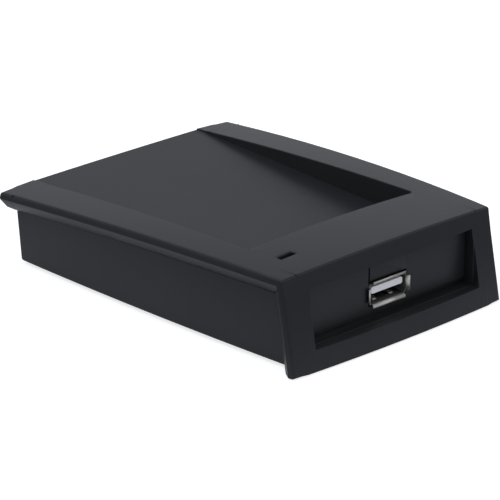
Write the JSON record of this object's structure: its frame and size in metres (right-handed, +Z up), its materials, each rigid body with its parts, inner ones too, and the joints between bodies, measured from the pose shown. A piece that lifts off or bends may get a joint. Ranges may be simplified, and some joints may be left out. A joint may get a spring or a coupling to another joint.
{
  "type": "smart card reader",
  "caption": "Low wedge desktop reader for smart cards, with a sloped card well in its crowned top and a rectangular data socket in a recessed rear window.",
  "frame": {"origin": "on the table under the middle of the whole outline", "axes": "+Z up from the table, +Y towards the socket end, -Y towards the card entry end, +X across the width on the status light's side"},
  "size_m": [0.0814, 0.11, 0.0262],
  "materials": {
    "cover_plastic": "fine moulded texture, satin black",
    "shell_plastic": "fine moulded texture, satin black",
    "pipe_smoke": "smoked clear",
    "socket_steel": "nickel plated sheet",
    "socket_white": "moulded white",
    "contact_gold": "plated",
    "board_green": "solder mask",
    "chip_black": "moulded epoxy",
    "lead_tin": "tinned",
    "can_steel": "drawn can",
    "can_aluminium": "drawn can",
    "buzzer_black": "moulded black",
    "lamp_clear": "clear epoxy",
    "ceramic_tan": "fired ceramic",
    "trace_copper": "etched",
    "foam_white": "closed cell foam",
    "screw_steel": "zinc plated",
    "foot_rubber": "matt"
  },
  "bodies": {
    "root": {"upper_cover": "cover_plastic", "lower_shell": "shell_plastic", "light_pipe": "pipe_smoke", "usb_shell": "socket_steel", "usb_insulator": "socket_white", "usb_contacts": "contact_gold", "main_board": "board_green", "microcontroller": "chip_black", "microcontroller_leads": "lead_tin", "reader_chip": "chip_black", "crystal": "can_steel", "regulator": "chip_black", "bulk_capacitor": "can_aluminium", "buzzer": "buzzer_black", "status_led": "lamp_clear", "smd_capacitors": "ceramic_tan", "smd_resistors": "chip_black", "link_pins": "contact_gold", "antenna_board": "board_green", "antenna_trace": "trace_copper", "antenna_pads": "foam_white", "board_screws": "screw_steel", "case_screws": "screw_steel", "rubber_feet": "foot_rubber"}
  },
  "joints": []
}
